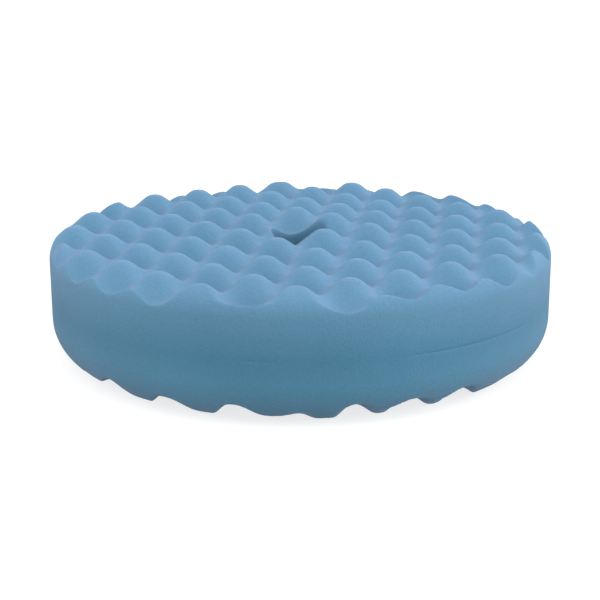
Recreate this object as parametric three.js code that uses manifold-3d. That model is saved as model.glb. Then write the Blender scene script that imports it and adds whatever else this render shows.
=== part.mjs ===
// A double-sided foam polishing pad for a rotary polisher.
//
// Two convoluted ("egg-crate") foam halves are bonded back to back over a stiff backing plate.
// A two-piece moulded hub is clamped through the middle of the plate. Its hexagonal socket takes
// the shank of a quick-connect adaptor from either side, so the pad can be turned over.
//
// Millimetres, +Z along the spindle axis. The origin is the centre of the pad, on its seam.

import * as THREE from "three";
import { mergeVertices } from "three/addons/utils/BufferGeometryUtils.js";
import Module from "manifold-3d";

// ---- Driving dimensions ----

const PAD_RADIUS = 101.6; // an 8 inch pad
const WORK_FACE = 25.7; // mid-plane to the flattened tips of the peaks
const UPPER_EDGE_RADIUS = 10.3;
const LOWER_EDGE_RADIUS = 17.5;
const CENTRE_HOLE_RADIUS = 12;

// The peaks stand on a rhombic lattice: two equal steps with this angle between them.
const PEAK_PITCH = 21.7;
const PEAK_ANGLE = THREE.MathUtils.degToRad(104.2);
// Where each half's lattice lies, before the lower half is turned over: the direction of one row
// of peaks, and the place of a peak.
const UPPER_LATTICE = { rowDegrees: 29.9, peakX: -5.46, peakY: -0.17 };
const LOWER_LATTICE = { rowDegrees: 155.4, peakX: -7.22, peakY: 5.01 };
const WAVE_MEAN = 21.25; // mid-plane to half way between peak and valley
const WAVE_AMPLITUDE = 4.75;

const SEAM_HALF = 0.2; // half of the bond between the two foam halves
const SEAM_SETBACK = 0.5; // the bond stops short of the pad's side

const PLATE_RADIUS = 75;
const PLATE_HALF = 0.8;
const PLATE_BORE_RADIUS = 15.2;
const FILM_THICKNESS = 0.4;

const FLANGE_RADIUS = 38;
const FLANGE_EDGE_THICKNESS = 1.2;
const FLANGE_THICKNESS = 2;
const FLANGE_TAPER = 6;
const BOSS_RADIUS = 11.7;
const BOSS_TOP = 9.5; // mid-plane to the end of the hub
const BOSS_CHAMFER = 0.5;
const SPIGOT_RADIUS = 15; // the hub's step inside the plate's bore

const HEX_SIDES = 6;
const HEX_ACROSS_FLATS = 16;
const HEX_LEAD_IN = 1;
const GROOVE_RADIUS = 12; // the adaptor's balls snap into this groove
const GROOVE_HALF = 0.9;
const GROOVE_TAPER = 2;

const PEG_CIRCLE = 22;
const PEG_RADIUS = 2.5;
const PEG_HOLE_RADIUS = 2.75;
const PEG_PAIRS = 3; // each hub half has this many pegs, and as many holes between them
const WINDOW_CIRCLE = 29;
const WINDOW_RADIUS = 3.5;
const PERFORATION_CIRCLE = 56;
const PERFORATION_RADIUS = 5;
const PERFORATIONS = 12;

const GAP = 0.3; // clearance between a foam half and the hard pieces inside it
const PAST = 1; // how far a cutting tool runs past what it cuts
const SAME_POINT = 1e-4; // corners closer than this are one corner

const FOAM_SEGMENTS = 64;
const HARD_SEGMENTS = 40;
const PEG_SEGMENTS = 12;
const EDGE_STEPS = 4;
const WAVE_STEPS = 6; // facets from one peak to the next

// ---- Solids and the shapes they are cut from ----

const wasm = await Module();
wasm.setup();

function solidOf(geometry) {
  const bare = geometry.clone();
  bare.deleteAttribute("normal");
  bare.deleteAttribute("uv");
  const merged = mergeVertices(bare, SAME_POINT);
  return new wasm.Manifold(
    new wasm.Mesh({
      numProp: 3,
      vertProperties: new Float32Array(merged.attributes.position.array),
      triVerts: new Uint32Array(merged.index.array),
    }),
  );
}

function geometryOf(solid) {
  const mesh = solid.getMesh();
  const geometry = new THREE.BufferGeometry();
  geometry.setAttribute("position", new THREE.BufferAttribute(mesh.vertProperties, mesh.numProp));
  geometry.setIndex(new THREE.BufferAttribute(mesh.triVerts, 1));
  geometry.computeVertexNormals();
  return geometry;
}

// A ring turned about Z from a closed outline of [radius, z] corners, listed with the ring's
// section on their left.
function turnedRing(outline, segments) {
  const points = [...outline, outline[0]].map(([radius, z]) => new THREE.Vector2(radius, z));
  return new THREE.LatheGeometry(points, segments).rotateX(Math.PI / 2);
}

// A prism or cylinder along Z between two heights, moved sideways to (x, y).
function post(radiusLow, radiusHigh, low, high, sides, x = 0, y = 0) {
  return new THREE.CylinderGeometry(radiusHigh, radiusLow, high - low, sides)
    .rotateX(Math.PI / 2)
    .translate(x, y, (low + high) / 2);
}

// Evenly spaced [x, y] places on a circle, starting at a given angle.
function onCircle(radius, count, start = 0) {
  return Array.from({ length: count }, (_, i) => {
    const angle = start + (i * 2 * Math.PI) / count;
    return [radius * Math.cos(angle), radius * Math.sin(angle)];
  });
}

// ---- Foam halves ----

// A block whose top is the convoluted sheet. Its grid follows the lattice of peaks, so that every
// peak, saddle and valley is a vertex.
function convolutedSheet(turn, shift) {
  const stepA = new THREE.Vector2(PEAK_PITCH, 0).rotateAround(new THREE.Vector2(), turn);
  const stepB = stepA.clone().rotateAround(new THREE.Vector2(), PEAK_ANGLE);
  const cells = Math.ceil(PAD_RADIUS / (PEAK_PITCH * Math.sin(PEAK_ANGLE))) + 1;
  const last = 2 * cells * WAVE_STEPS;
  const row = last + 1;
  const wave = (k) => Math.cos((2 * Math.PI * k) / WAVE_STEPS);
  const positions = [];
  for (const isTop of [true, false]) {
    for (let j = 0; j <= last; j++) {
      for (let i = 0; i <= last; i++) {
        const at = stepA
          .clone()
          .multiplyScalar(i / WAVE_STEPS - cells)
          .addScaledVector(stepB, j / WAVE_STEPS - cells)
          .add(shift);
        const top = WAVE_MEAN + (WAVE_AMPLITUDE * (wave(i) + wave(j))) / 2;
        positions.push(at.x, at.y, isTop ? top : -PAST);
      }
    }
  }
  const index = [];
  const under = row * row;
  const quad = (a, b, c, d) => index.push(a, b, c, a, c, d);
  for (let j = 0; j < last; j++) {
    for (let i = 0; i < last; i++) {
      const a = j * row + i;
      quad(a, a + 1, a + row + 1, a + row);
      quad(under + a, under + a + row, under + a + row + 1, under + a + 1);
    }
  }
  for (let k = 0; k < last; k++) {
    const front = k;
    const back = last * row + k;
    const left = k * row;
    const right = left + last;
    quad(front, under + front, under + front + 1, front + 1);
    quad(back, back + 1, under + back + 1, under + back);
    quad(left, left + row, under + left + row, under + left);
    quad(right, under + right, under + right + row, right + row);
  }
  const geometry = new THREE.BufferGeometry();
  geometry.setAttribute("position", new THREE.Float32BufferAttribute(positions, 3));
  geometry.setIndex(index);
  return geometry;
}

// The turned blank of one foam half: rounded outer edge, centre hole, and a stepped recess
// underneath for the backing plate and the hub flange.
function foamBlank(edgeRadius) {
  const edge = new THREE.Path()
    .absarc(PAD_RADIUS - edgeRadius, WORK_FACE - edgeRadius, edgeRadius, 0, Math.PI / 2)
    .getPoints(EDGE_STEPS)
    .map((p) => [p.x, p.y]);
  const overPlate = PLATE_HALF + FILM_THICKNESS;
  const overFlange = PLATE_HALF + FLANGE_THICKNESS + FILM_THICKNESS;
  return turnedRing(
    [
      [PAD_RADIUS, SEAM_HALF],
      ...edge,
      [CENTRE_HOLE_RADIUS, WORK_FACE],
      [CENTRE_HOLE_RADIUS, overFlange],
      [FLANGE_RADIUS + GAP, overFlange],
      [FLANGE_RADIUS + GAP, overPlate],
      [PLATE_RADIUS + GAP, overPlate],
      [PLATE_RADIUS + GAP, SEAM_HALF],
    ],
    FOAM_SEGMENTS,
  );
}

function foamHalf(lattice, edgeRadius) {
  const turn = THREE.MathUtils.degToRad(lattice.rowDegrees);
  const sheet = solidOf(convolutedSheet(turn, new THREE.Vector2(lattice.peakX, lattice.peakY)));
  return geometryOf(solidOf(foamBlank(edgeRadius)).intersect(sheet));
}

// ---- Hub ----

function hubHalf() {
  const seat = PLATE_HALF;
  const flangeTop = seat + FLANGE_THICKNESS;
  const body = solidOf(
    turnedRing(
      [
        [0, 0],
        [SPIGOT_RADIUS, 0],
        [SPIGOT_RADIUS, seat],
        [FLANGE_RADIUS, seat],
        [FLANGE_RADIUS, seat + FLANGE_EDGE_THICKNESS],
        [FLANGE_RADIUS - FLANGE_TAPER, flangeTop],
        [BOSS_RADIUS, flangeTop],
        [BOSS_RADIUS, BOSS_TOP - BOSS_CHAMFER],
        [BOSS_RADIUS - BOSS_CHAMFER, BOSS_TOP],
        [0, BOSS_TOP],
      ],
      HARD_SEGMENTS,
    ),
  );
  const hexRadius = HEX_ACROSS_FLATS / Math.sqrt(3);
  const leadInLow = BOSS_TOP - HEX_LEAD_IN - PAST;
  const leadInRadius = hexRadius + HEX_LEAD_IN + PAST;
  const cuts = [
    post(hexRadius, hexRadius, -PAST, BOSS_TOP + PAST, HEX_SIDES),
    post(hexRadius - PAST, leadInRadius, leadInLow, BOSS_TOP + PAST, HEX_SIDES),
    post(GROOVE_RADIUS, GROOVE_RADIUS, -PAST, GROOVE_HALF, HARD_SEGMENTS),
    post(GROOVE_RADIUS, hexRadius - PAST, GROOVE_HALF, GROOVE_HALF + GROOVE_TAPER, HARD_SEGMENTS),
  ];
  const spacing = Math.PI / PEG_PAIRS;
  for (const [x, y] of onCircle(PEG_CIRCLE, PEG_PAIRS, spacing))
    cuts.push(post(PEG_HOLE_RADIUS, PEG_HOLE_RADIUS, 0, flangeTop + PAST, PEG_SEGMENTS, x, y));
  for (const [x, y] of onCircle(WINDOW_CIRCLE, 2 * PEG_PAIRS, spacing / 2))
    cuts.push(post(WINDOW_RADIUS, WINDOW_RADIUS, 0, flangeTop + PAST, PEG_SEGMENTS, x, y));
  let hub = body;
  for (const cut of cuts) hub = hub.subtract(solidOf(cut));
  for (const [x, y] of onCircle(PEG_CIRCLE, PEG_PAIRS))
    hub = hub.add(solidOf(post(PEG_RADIUS, PEG_RADIUS, -flangeTop + GAP, seat + GAP, PEG_SEGMENTS, x, y)));
  return geometryOf(hub);
}

// ---- Plate, films and seam bond ----

function backingPlate() {
  let plate = solidOf(flatRing(PLATE_BORE_RADIUS, PLATE_RADIUS, -PLATE_HALF, PLATE_HALF));
  const drill = (radius, places) => {
    for (const [x, y] of places)
      plate = plate.subtract(
        solidOf(post(radius, radius, -PLATE_HALF - PAST, PLATE_HALF + PAST, PEG_SEGMENTS, x, y)),
      );
  };
  drill(PEG_HOLE_RADIUS, onCircle(PEG_CIRCLE, 2 * PEG_PAIRS));
  drill(PERFORATION_RADIUS, onCircle(PERFORATION_CIRCLE, PERFORATIONS));
  return geometryOf(plate);
}

function flatRing(inner, outer, low, high) {
  return turnedRing(
    [
      [inner, low],
      [outer, low],
      [outer, high],
      [inner, high],
    ],
    FOAM_SEGMENTS,
  );
}

// ---- Assembly ----

const foamBlue = new THREE.MeshStandardMaterial({ color: 0x6f9fc4, roughness: 0.95, metalness: 0 });
const hubNylon = new THREE.MeshStandardMaterial({ color: 0x2b2d30, roughness: 0.5, metalness: 0 });
const plateFibre = new THREE.MeshStandardMaterial({ color: 0x4a4643, roughness: 0.8, metalness: 0 });
const adhesive = new THREE.MeshStandardMaterial({ color: 0xd8d2b8, roughness: 0.4, metalness: 0 });

const pad = new THREE.Group();

function place(name, geometry, material, flipped = false, turn = 0) {
  const mesh = new THREE.Mesh(geometry, material);
  mesh.name = name;
  const holder = new THREE.Group();
  holder.rotation.z = turn;
  if (flipped) mesh.rotation.x = Math.PI;
  holder.add(mesh);
  pad.add(holder);
}

place("upper_foam_pad", foamHalf(UPPER_LATTICE, UPPER_EDGE_RADIUS), foamBlue);
place("lower_foam_pad", foamHalf(LOWER_LATTICE, LOWER_EDGE_RADIUS), foamBlue, true);

// The two hub halves are one moulding. Turning the lower one by half the peg spacing brings its
// pegs under the upper half's holes.
place("upper_hub_half", hubHalf(), hubNylon);
place("lower_hub_half", hubHalf(), hubNylon, true, Math.PI / PEG_PAIRS);

place("backing_plate", backingPlate(), plateFibre);

const plateFilm = () =>
  flatRing(FLANGE_RADIUS + GAP, PLATE_RADIUS, PLATE_HALF, PLATE_HALF + FILM_THICKNESS);
place("upper_plate_film", plateFilm(), adhesive);
place("lower_plate_film", plateFilm(), adhesive, true);

const flangeFilmLow = PLATE_HALF + FLANGE_THICKNESS;
const flangeFilm = () =>
  flatRing(CENTRE_HOLE_RADIUS, FLANGE_RADIUS - FLANGE_TAPER, flangeFilmLow, flangeFilmLow + FILM_THICKNESS);
place("upper_flange_film", flangeFilm(), adhesive);
place("lower_flange_film", flangeFilm(), adhesive, true);

place(
  "seam_bond_ring",
  flatRing(PLATE_RADIUS + GAP, PAD_RADIUS - SEAM_SETBACK, -SEAM_HALF, SEAM_HALF),
  adhesive,
);

export default pad;
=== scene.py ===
"""Looks for the double-sided foam polishing pad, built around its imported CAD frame.

Metres, +Z along the spindle axis, origin at the centre of the pad on its seam.
"""

import math

import bmesh
import bpy
import numpy as np
from mathutils import Matrix, Vector, noise


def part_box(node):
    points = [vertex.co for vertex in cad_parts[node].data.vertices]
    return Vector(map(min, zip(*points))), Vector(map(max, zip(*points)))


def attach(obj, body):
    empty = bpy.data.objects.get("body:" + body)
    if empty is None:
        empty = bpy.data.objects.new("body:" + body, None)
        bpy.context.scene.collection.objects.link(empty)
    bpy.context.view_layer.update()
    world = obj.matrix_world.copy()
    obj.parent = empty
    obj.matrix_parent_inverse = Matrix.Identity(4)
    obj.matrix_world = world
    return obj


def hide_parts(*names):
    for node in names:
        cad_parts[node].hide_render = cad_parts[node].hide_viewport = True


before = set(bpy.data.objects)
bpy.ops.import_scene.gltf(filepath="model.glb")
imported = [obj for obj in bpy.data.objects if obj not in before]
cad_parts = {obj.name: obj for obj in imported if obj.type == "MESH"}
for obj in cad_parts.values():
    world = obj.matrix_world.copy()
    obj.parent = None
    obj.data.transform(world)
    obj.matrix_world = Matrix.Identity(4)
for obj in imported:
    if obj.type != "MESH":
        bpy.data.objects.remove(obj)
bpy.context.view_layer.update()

MM = 0.001

# ---- Sizes taken from the frame ----

FOAM_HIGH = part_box("upper_foam_pad")[1]
FLANGE_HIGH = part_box("upper_hub_half")[1]
PLATE_FILM_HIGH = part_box("upper_plate_film")[1]
FLANGE_FILM_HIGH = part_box("upper_flange_film")[1]
BOND_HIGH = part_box("seam_bond_ring")[1]

PAD_RADIUS = FOAM_HIGH.x
WORK_FACE = FOAM_HIGH.z
CLEARANCE = 0.3 * MM
BOND_CLEARANCE = 0.05 * MM

# ---- The convoluted faces ----

HOLE_RADIUS = 12 * MM
PEAK_PITCH = 21.7 * MM
PEAK_ANGLE = math.radians(104.2)
WAVE_MEAN = 21.3 * MM
WAVE_AMPLITUDE = 4.65 * MM
BROAD_PEAKS = -0.3  # 0 for a plain cosine; more makes the peaks broader and the valleys narrower
CUT_SOFTNESS = 0.9 * MM  # how round the edge is where the convoluted cut meets the turned outline
HOLE_EDGE = 1.0 * MM
UNEVENNESS = 0.25 * MM  # how far the cut strays, sideways and up or down
SIDEWAYS_LUMP = 30 * MM
HEIGHT_LUMP = 18 * MM

# Painted light and shade in the foam's colour, from 0 (the darker side colour) to 1 (the lit face
# colour): painted shade in the valleys and the hole, and painted shade darkening the side towards the
# seam.
# painted shade in the valleys of the cut
PAINTED_SHADE_VALLEY_TONE = 0.75
# painted shade on the hole wall
PAINTED_SHADE_WALL_TONE = 0.35
# The lit face colour reaches CUT_FADE past the flat part of the face; on the side, painted light grows
# from none at FADE_LOW above the seam to full at FADE_HIGH.
CUT_FADE = 4.0 * MM  # how far past the flat part of the face the cut's tone reaches
FADE_LOW = 1 * MM
FADE_HIGH = 22 * MM

# The upper foam rides up over the hub, a little more on one side.
HUB_SWELL_PLACE = (7 * MM, 7 * MM)
HUB_SWELL_REACH = 32 * MM

# For each face: the direction of one row of peaks, the place of a peak, the outer edge radius,
# how far the foam rides up over the hub, and how much painted light the upper part of its side gets.
UPPER = dict(
    turn=math.radians(29.9),
    peak=(-5.46 * MM, -0.17 * MM),
    edge=10.3 * MM,
    swell=2.6 * MM,
    edge_painted_light=1.0,
    seed=1,
)
LOWER = dict(
    turn=math.radians(155.4),
    peak=(-7.22 * MM, 5.01 * MM),
    edge=17.5 * MM,
    swell=0.0,
    # the lower side stays mostly in painted shade
    edge_painted_light=0.35,
    seed=2,
)

COLUMNS = 600
FACE_STEP = 0.85 * MM
HOLE_EDGE_STEPS = 6
EDGE_STEPS = 26
SIDE_STEP = 1.2 * MM
WALL_STEPS = 12
NEAR_SEAM = [h * MM for h in (3, 2, 1.3, 0.9, 0.6, 0.4, 0.22, 0.1)]  # heights of the rows by the seam

SHARP_ANGLE = math.radians(50)

HUB_EDGE = 0.35 * MM
HUB_CORNER = math.radians(35)
HUB_EDGE_STEPS = 3
SAME_PLANE = math.radians(0.5)
SAME_POINT = 0.001 * MM

# The bond puckers the side here and there: angle from +X, half the length, and depth.
SEAM_PUCKERS = ((-50, 17, 0.30 * MM), (-98, 3.5, 0.15 * MM), (118, 13, 0.25 * MM))
SEAM_PUCKER_WIDTH = 0.5 * MM


def soft_noise(x, y, z, size, seed):
    """Smooth noise between about -1 and 1, with lumps of the given size."""
    shift = Vector((seed * 7.3, seed * -3.1, seed * 5.7))
    points = np.stack([x, y, z], axis=-1).reshape(-1, 3) / size
    values = [noise.noise(Vector(p) + shift) for p in points]
    return np.array(values).reshape(np.shape(x))


def lower_of(a, b, softness):
    """The lower of two heights, with a rounded meeting, and how far it is a rather than b."""
    h = np.clip(0.5 + 0.5 * (b - a) / softness, 0, 1)
    return b + (a - b) * h - softness * h * (1 - h), h


def swell(x, y, face):
    """How far the foam is pushed out over the hub."""
    from_hub = np.hypot(x - HUB_SWELL_PLACE[0], y - HUB_SWELL_PLACE[1])
    return face["swell"] * np.exp(-((from_hub / HUB_SWELL_REACH) ** 2))


def seam_pucker(degrees):
    """How far the side is drawn in at the seam, at an angle from +X."""
    depth = np.zeros_like(degrees)
    for middle, half, deep in SEAM_PUCKERS:
        away = (degrees - middle + 180) % 360 - 180
        depth += deep * np.exp(-((away / half) ** 4))
    return depth


def wave(x, y, face):
    """Height of the convoluted cut above the seam, and where it is from valley (0) to peak (1)."""
    turn = face["turn"]
    steps = PEAK_PITCH * np.array(
        [
            [math.cos(turn), math.cos(turn + PEAK_ANGLE)],
            [math.sin(turn), math.sin(turn + PEAK_ANGLE)],
        ]
    )
    seed = face["seed"]
    flat = np.zeros_like(x)
    x = x + UNEVENNESS * soft_noise(x, y, flat, SIDEWAYS_LUMP, seed)
    y = y + UNEVENNESS * soft_noise(x, y, flat, SIDEWAYS_LUMP, seed + 10)
    place = np.stack([x - face["peak"][0], y - face["peak"][1]]).reshape(2, -1)
    u, v = np.linalg.inv(steps) @ place
    c = ((np.cos(2 * math.pi * u) + np.cos(2 * math.pi * v)) / 2).reshape(x.shape)
    lift = UNEVENNESS * soft_noise(x, y, flat, HEIGHT_LUMP, seed + 20)
    lift = lift + swell(x, y, face)
    height = WAVE_MEAN + WAVE_AMPLITUDE * (c + BROAD_PEAKS * (1 - c * c) / 2) + lift
    return height, (1 + c) / 2


def foam_half(name, face, flipped):
    """One foam half as a closed skin: face, rounded edge, side, seam, recess and hole wall."""
    edge = face["edge"]
    flat = PAD_RADIUS - edge
    side_top = WORK_FACE - edge
    angles = np.linspace(0, 2 * math.pi, COLUMNS, endpoint=False)
    cos, sin = np.cos(angles), np.sin(angles)
    ones = np.ones(COLUMNS)
    rows = []
    tones = []

    # Painted light and shade on the side: darker towards the seam, paler towards the face.
    def side_painted_shade(z):
        return face["edge_painted_light"] * np.clip((z - FADE_LOW) / (FADE_HIGH - FADE_LOW), 0, 1)

    def add_row(radius, z, tone=0.0):
        rows.append((radius * ones, z * ones))
        tones.append(tone * ones)

    def face_row(radius, outline, sunk=0.0):
        x, y = radius * cos, radius * sin
        cut, up = wave(x, y, face)
        height, on_cut = lower_of(cut, outline + swell(x, y, face), CUT_SOFTNESS)
        inside = min(1.0, max(0.0, 1 - (radius - flat) / CUT_FADE))
        # A painted highlight: a paler line where the cut meets the turned outline.
        painted_rim_highlight = 4 * on_cut * (1 - on_cut) * (1 - inside)
        on_cut = np.maximum(on_cut, inside)
        # Painted shade in the valleys of the cut, painted light on its peaks.
        cut_painted_light = PAINTED_SHADE_VALLEY_TONE + (1 - PAINTED_SHADE_VALLEY_TONE) * up
        tone = on_cut * cut_painted_light + (1 - on_cut) * side_painted_shade(height)
        add_row(radius, height - sunk, np.maximum(tone, painted_rim_highlight))

    for k in range(HOLE_EDGE_STEPS):
        t = math.pi / 2 * k / HOLE_EDGE_STEPS
        face_row(HOLE_RADIUS + HOLE_EDGE * (1 - math.cos(t)), WORK_FACE, HOLE_EDGE * (1 - math.sin(t)))
    inner = HOLE_RADIUS + HOLE_EDGE
    steps = round((flat - inner) / FACE_STEP)
    for k in range(steps):
        face_row(inner + (flat - inner) * k / steps, WORK_FACE)
    for k in range(EDGE_STEPS + 1):
        t = math.pi / 2 * k / EDGE_STEPS
        face_row(flat + edge * math.sin(t), side_top + edge * math.cos(t))

    pucker = seam_pucker(np.degrees(-angles if flipped else angles))
    far_steps = round((side_top - NEAR_SEAM[0]) / SIDE_STEP)
    heights = [side_top + (NEAR_SEAM[0] - side_top) * k / far_steps for k in range(1, far_steps)]
    heights += NEAR_SEAM + [0.0]
    for z in heights:
        pinch = math.exp(-((z / SEAM_PUCKER_WIDTH) ** 2))
        add_row(PAD_RADIUS - pucker * pinch, z, side_painted_shade(z))

    under = [
        (BOND_HIGH.x + BOND_CLEARANCE, BOND_HIGH.z),
        (PLATE_FILM_HIGH.x + CLEARANCE, BOND_HIGH.z),
        (PLATE_FILM_HIGH.x + CLEARANCE, PLATE_FILM_HIGH.z),
        (FLANGE_HIGH.x + CLEARANCE, PLATE_FILM_HIGH.z),
        (FLANGE_HIGH.x + CLEARANCE, FLANGE_FILM_HIGH.z),
        (HOLE_RADIUS, FLANGE_FILM_HIGH.z),
    ]
    for r, z in under:
        add_row(r, z)
    wall_top = rows[0][1]
    wall_low = under[-1][1]
    # The hole wall gets painted shade.
    for k in range(1, WALL_STEPS):
        add_row(HOLE_RADIUS, wall_low + (wall_top - wall_low) * k / WALL_STEPS, PAINTED_SHADE_WALL_TONE)

    radius = np.array([r for r, _ in rows])
    height = np.array([z for _, z in rows])
    x, y, z = radius * cos, radius * sin, height
    if flipped:
        y, z = -y, -z
    points = np.stack([x, y, z], axis=-1).reshape(-1, 3)
    n = len(rows)
    k, j = np.meshgrid(np.arange(n), np.arange(COLUMNS), indexing="ij")
    k2, j2 = (k + 1) % n, (j + 1) % COLUMNS
    quads = np.stack([k * COLUMNS + j, k2 * COLUMNS + j, k2 * COLUMNS + j2, k * COLUMNS + j2], axis=-1)
    return mesh_piece(name, points, quads.reshape(-1, 4), np.array(tones).reshape(-1))


def mesh_piece(name, points, faces, tones):
    """A mesh object whose points also carry painted light and shade for their foam, from 0 to 1."""
    mesh = bpy.data.meshes.new(name)
    mesh.from_pydata(points.tolist(), [], faces.tolist())
    mesh.attributes.new("pale", "FLOAT", "POINT").data.foreach_set("value", tones)
    mesh.shade_smooth()
    mesh.set_sharp_from_angle(angle=SHARP_ANGLE)
    piece = bpy.data.objects.new(name, mesh)
    bpy.context.scene.collection.objects.link(piece)
    return piece


def broken_edges(name, node):
    """A copy of a hub half with its moulded edges rounded over."""
    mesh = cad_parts[node].data.copy()
    mesh.name = name
    mesh.materials.clear()
    form = bmesh.new()
    form.from_mesh(mesh)
    bmesh.ops.remove_doubles(form, verts=form.verts, dist=SAME_POINT)
    bmesh.ops.dissolve_limit(
        form, angle_limit=SAME_PLANE, verts=form.verts, edges=form.edges, delimit={"NORMAL"}
    )
    sharp = [e for e in form.edges if len(e.link_faces) == 2 and e.calc_face_angle() > HUB_CORNER]
    bmesh.ops.bevel(
        form,
        geom=sharp,
        offset=HUB_EDGE,
        offset_type="OFFSET",
        segments=HUB_EDGE_STEPS,
        profile=0.5,
        affect="EDGES",
        clamp_overlap=True,
    )
    form.to_mesh(mesh)
    form.free()
    mesh.shade_smooth()
    mesh.set_sharp_from_angle(angle=HUB_CORNER)
    piece = bpy.data.objects.new(name, mesh)
    bpy.context.scene.collection.objects.link(piece)
    return piece


# ---- Materials ----


class Nodes:
    """A material's node tree, with short calls to add and join nodes."""

    def __init__(self, name):
        self.material = bpy.data.materials.new(name)
        self.material.use_nodes = True
        self.tree = self.material.node_tree
        self.shader = self.tree.nodes["Principled BSDF"]
        self.place = self.add("ShaderNodeTexCoord").outputs["Object"]

    def add(self, kind, inputs=None, **settings):
        node = self.tree.nodes.new(kind)
        for key, value in settings.items():
            setattr(node, key, value)
        for key, value in (inputs or {}).items():
            if isinstance(value, bpy.types.NodeSocket):
                self.tree.links.new(value, node.inputs[key])
            else:
                node.inputs[key].default_value = value
        return node

    def noise(self, size, detail=2.0, roughness=0.5, stretch=None):
        vector = self.place
        if stretch:
            vector = self.add("ShaderNodeMapping", {"Vector": vector, "Scale": stretch}).outputs[0]
        inputs = {"Vector": vector, "Scale": 1 / size, "Detail": detail, "Roughness": roughness}
        return self.add("ShaderNodeTexNoise", inputs).outputs["Fac"]

    def cells(self, size, feature="F1"):
        inputs = {"Vector": self.place, "Scale": 1 / size}
        return self.add("ShaderNodeTexVoronoi", inputs, feature=feature).outputs["Distance"]

    def ramp(self, value, stops):
        """Maps 0..1 through [(position, grey or colour), ...]."""
        node = self.add("ShaderNodeValToRGB", {"Fac": value})
        elements = node.color_ramp.elements
        while len(elements) < len(stops):
            elements.new(0.5)
        for element, (position, colour) in zip(elements, stops):
            element.position = position
            element.color = (colour,) * 3 + (1,) if isinstance(colour, float) else (*colour, 1)
        return node.outputs["Color"]

    def mix(self, factor, a, b, blend="MIX"):
        node = self.add("ShaderNodeMix", data_type="RGBA", blend_type=blend)
        for socket, value in ((node.inputs[0], factor), (node.inputs[6], a), (node.inputs[7], b)):
            if isinstance(value, bpy.types.NodeSocket):
                self.tree.links.new(value, socket)
            elif isinstance(value, tuple):
                socket.default_value = (*value, 1)
            else:
                socket.default_value = value
        return node.outputs[2]

    def bump(self, height, distance, strength=1.0, after=None):
        inputs = {"Height": height, "Distance": distance, "Strength": strength}
        if after:
            inputs["Normal"] = after
        return self.add("ShaderNodeBump", inputs).outputs[0]

    def finish(self, **inputs):
        for key, value in inputs.items():
            socket = self.shader.inputs[key.replace("_", " ")]
            if isinstance(value, bpy.types.NodeSocket):
                self.tree.links.new(value, socket)
            else:
                socket.default_value = value
        return self.material


def foam_material():
    """Fine open-cell foam: cells, grain, soft uneven tone, and painted light and shade: a lit face
    colour and a darker shaded copy for the side, mixed as "pale" says.
    """
    n = Nodes("blue_foam")
    uneven = n.noise(38 * MM, 3)
    # Lit and shaded copies of one foam colour: painted light on the cut face, painted shade on the
    # side.
    cut_painted_light = n.ramp(uneven, [(0.3, (0.107, 0.237, 0.356)), (0.7, (0.114, 0.251, 0.378))])
    side_painted_shade = n.ramp(uneven, [(0.3, (0.056, 0.174, 0.262)), (0.7, (0.061, 0.188, 0.281))])
    pale = n.add("ShaderNodeAttribute", attribute_name="pale").outputs["Fac"]
    tone = n.mix(pale, side_painted_shade, cut_painted_light)
    grain = n.noise(0.8 * MM, 3, 0.7)
    pores = n.ramp(n.cells(0.9 * MM), [(0.0, 0.0), (0.42, 1.0)])
    speckle = n.mix(1.0, n.ramp(grain, [(0.28, 0.90), (0.50, 1.0), (0.70, 1.06)]), tone, "MULTIPLY")
    colour = n.mix(n.ramp(pores, [(0.0, 0.17), (0.40, 0.0)]), speckle, (0.050, 0.160, 0.270))
    cell_bump = n.bump(pores, 0.08 * MM)
    grain_bump = n.bump(grain, 0.10 * MM, 1.0, cell_bump)
    return n.finish(
        Base_Color=colour,
        Normal=grain_bump,
        Roughness=0.95,
        Diffuse_Roughness=0.4,
        Specular_IOR_Level=0.1,
        Sheen_Weight=0.08,
        Sheen_Roughness=0.6,
        Sheen_Tint=(1.0, 0.42, 0.55, 1),
    )


def moulded_material():
    """Black glass-filled nylon: fine mould texture with faint flow streaks."""
    n = Nodes("moulded_nylon")
    streaks = n.noise(9 * MM, 4, 0.6, stretch=(1, 1, 0.3))
    grain = n.noise(0.35 * MM, 2)
    colour = n.ramp(streaks, [(0.3, (0.020, 0.021, 0.024)), (0.7, (0.034, 0.035, 0.039))])
    roughness = n.ramp(streaks, [(0.3, 0.42), (0.7, 0.56)])
    return n.finish(Base_Color=colour, Roughness=roughness, Normal=n.bump(grain, 0.04 * MM))


def fibre_material():
    """Pressed fibre board: short fibres lying every way."""
    n = Nodes("fibre_board")
    across = n.noise(2.2 * MM, 4, 0.7, stretch=(1, 5, 1))
    along = n.noise(2.2 * MM, 4, 0.7, stretch=(5, 1, 1))
    fibres = n.mix(0.5, across, along)
    colour = n.ramp(fibres, [(0.35, (0.045, 0.038, 0.033)), (0.65, (0.105, 0.092, 0.080))])
    return n.finish(Base_Color=colour, Roughness=0.82, Normal=n.bump(fibres, 0.08 * MM))


def adhesive_material():
    """Dried contact adhesive: stringy, uneven and slightly glossy."""
    n = Nodes("dried_adhesive")
    strings = n.noise(3 * MM, 5, 0.65)
    colour = n.ramp(strings, [(0.3, (0.50, 0.45, 0.30)), (0.7, (0.74, 0.70, 0.56))])
    roughness = n.ramp(strings, [(0.3, 0.30), (0.7, 0.55)])
    return n.finish(Base_Color=colour, Roughness=roughness, Normal=n.bump(strings, 0.15 * MM))


def give(node, material):
    """Gives a CAD node's own mesh a better material."""
    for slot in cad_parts[node].material_slots:
        slot.material = material


# ---- The pad ----

foam = foam_material()
for name, face, flipped in (("upper_foam", UPPER, False), ("lower_foam", LOWER, True)):
    piece = foam_half(name, face, flipped)
    piece.data.materials.append(foam)
    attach(piece, "root")
    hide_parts(name + "_pad")

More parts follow.
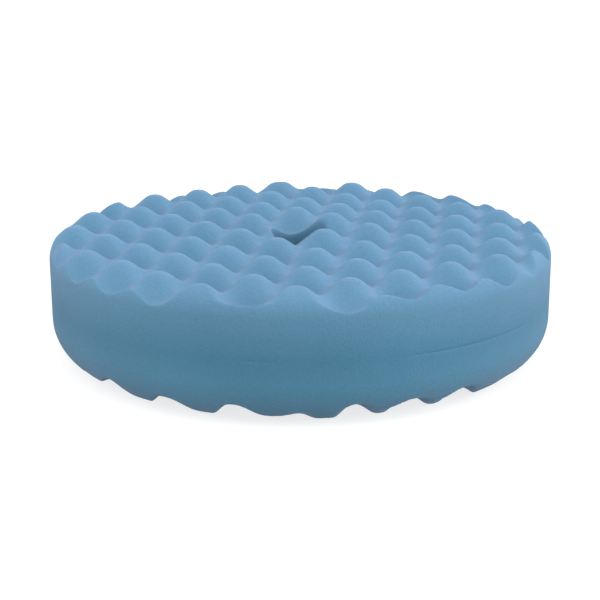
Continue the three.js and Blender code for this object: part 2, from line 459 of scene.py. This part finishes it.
nylon = moulded_material()
fibre = fibre_material()
glue = adhesive_material()
for side in ("upper", "lower"):
    hub = broken_edges(side + "_hub", side + "_hub_half")
    hub.data.materials.append(nylon)
    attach(hub, "root")
    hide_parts(side + "_hub_half")
    give(side + "_plate_film", glue)
    give(side + "_flange_film", glue)
give("backing_plate", fibre)
give("seam_bond_ring", glue)

# ---- Studio: pale floor, soft light, camera ----

FLOOR_HALF = 12.0
SOFTBOX_DISTANCE = 4.0
CAMERA_DISTANCE = 557.4 * MM
CAMERA_ELEVATION = math.radians(15.31)
CAMERA_AIM = Vector((-0.2 * MM, 0, -6.6 * MM))
CAMERA_ROLL = math.radians(-0.18)
SENSOR_WIDTH = 36.0
CAMERA_LENS = 80.67
WHITE = (1.0, 1.0, 1.0)


def floor():
    mesh = bpy.data.meshes.new("studio_floor")
    """A plain pale floor that the pad lies on."""
    half = FLOOR_HALF
    z = -WORK_FACE
    corners = [(-half, -half, z), (half, -half, z), (half, half, z), (-half, half, z)]
    mesh.from_pydata(corners, [], [(0, 1, 2, 3)])
    piece = bpy.data.objects.new("studio_floor", mesh)
    bpy.context.scene.collection.objects.link(piece)
    material = bpy.data.materials.new("studio_white")
    material.use_nodes = True
    shader = material.node_tree.nodes["Principled BSDF"]
    shader.inputs["Base Color"].default_value = (0.3, 0.3, 0.3, 1)
    shader.inputs["Roughness"].default_value = 0.9
    shader.inputs["Emission Color"].default_value = (1, 1, 1, 1)
    shader.inputs["Emission Strength"].default_value = 0.75
    shader.inputs["Specular IOR Level"].default_value = 0.1
    mesh.materials.append(material)
    piece.visible_diffuse = False


def softbox(name, azimuth, elevation, width, strength, colour):
    """A round soft lamp aimed at the pad.

    Azimuth is in degrees from the camera's side of the pad, positive to the right. Width is the
    angle that the lamp fills, and strength is the light that reaches the pad, in W per m2.
    """
    half = math.radians(width / 2)
    light = bpy.data.lights.new(name, "AREA")
    light.shape = "DISK"
    light.size = 2 * SOFTBOX_DISTANCE * math.tan(half)
    light.energy = strength * math.pi * (SOFTBOX_DISTANCE / math.cos(half)) ** 2
    light.color = colour
    lamp = bpy.data.objects.new(name, light)
    lamp.visible_camera = False
    turn, tilt = math.radians(azimuth), math.radians(elevation)
    flat = math.cos(tilt)
    place = Vector((flat * math.sin(turn), -flat * math.cos(turn), math.sin(tilt)))
    lamp.location = SOFTBOX_DISTANCE * place
    lamp.rotation_euler = (-place).to_track_quat("-Z", "Y").to_euler()
    bpy.context.scene.collection.objects.link(lamp)


def studio():
    """The floor, an even pale sky and five soft lamps."""
    floor()
    world = bpy.data.worlds.new("studio_world")
    world.use_nodes = True
    background = world.node_tree.nodes["Background"]
    background.inputs["Color"].default_value = (1, 1, 1, 1)
    background.inputs["Strength"].default_value = 0.42
    bpy.context.scene.world = world
    softbox("front", 0, 33, 80, 2.2, (0.9, 1.0, 1.0))
    softbox("overhead", 0, 85, 60, 0.55, (1.0, 0.6, 0.76))
    softbox("left", -92, 20, 60, 1.8, WHITE)
    softbox("right", 88, 18, 60, 3.4, WHITE)
    softbox("back", 180, 35, 70, 0.65, WHITE)
    bpy.context.scene.view_settings.view_transform = "Standard"


def camera():
    """The photograph's view: low, from the front."""
    data = bpy.data.cameras.new("camera")
    data.lens = CAMERA_LENS
    data.sensor_width = SENSOR_WIDTH
    data.clip_start = 0.01
    data.clip_end = 60
    eye = CAMERA_DISTANCE * Vector((0, -math.cos(CAMERA_ELEVATION), math.sin(CAMERA_ELEVATION)))
    turned = (CAMERA_AIM - eye).to_track_quat("-Z", "Y").to_matrix().to_4x4()
    rig = bpy.data.objects.new("camera", data)
    rig.matrix_world = Matrix.Translation(eye) @ turned @ Matrix.Rotation(CAMERA_ROLL, 4, "Z")
    bpy.context.scene.collection.objects.link(rig)
    bpy.context.scene.camera = rig


studio()
camera()

bpy.context.view_layer.update()
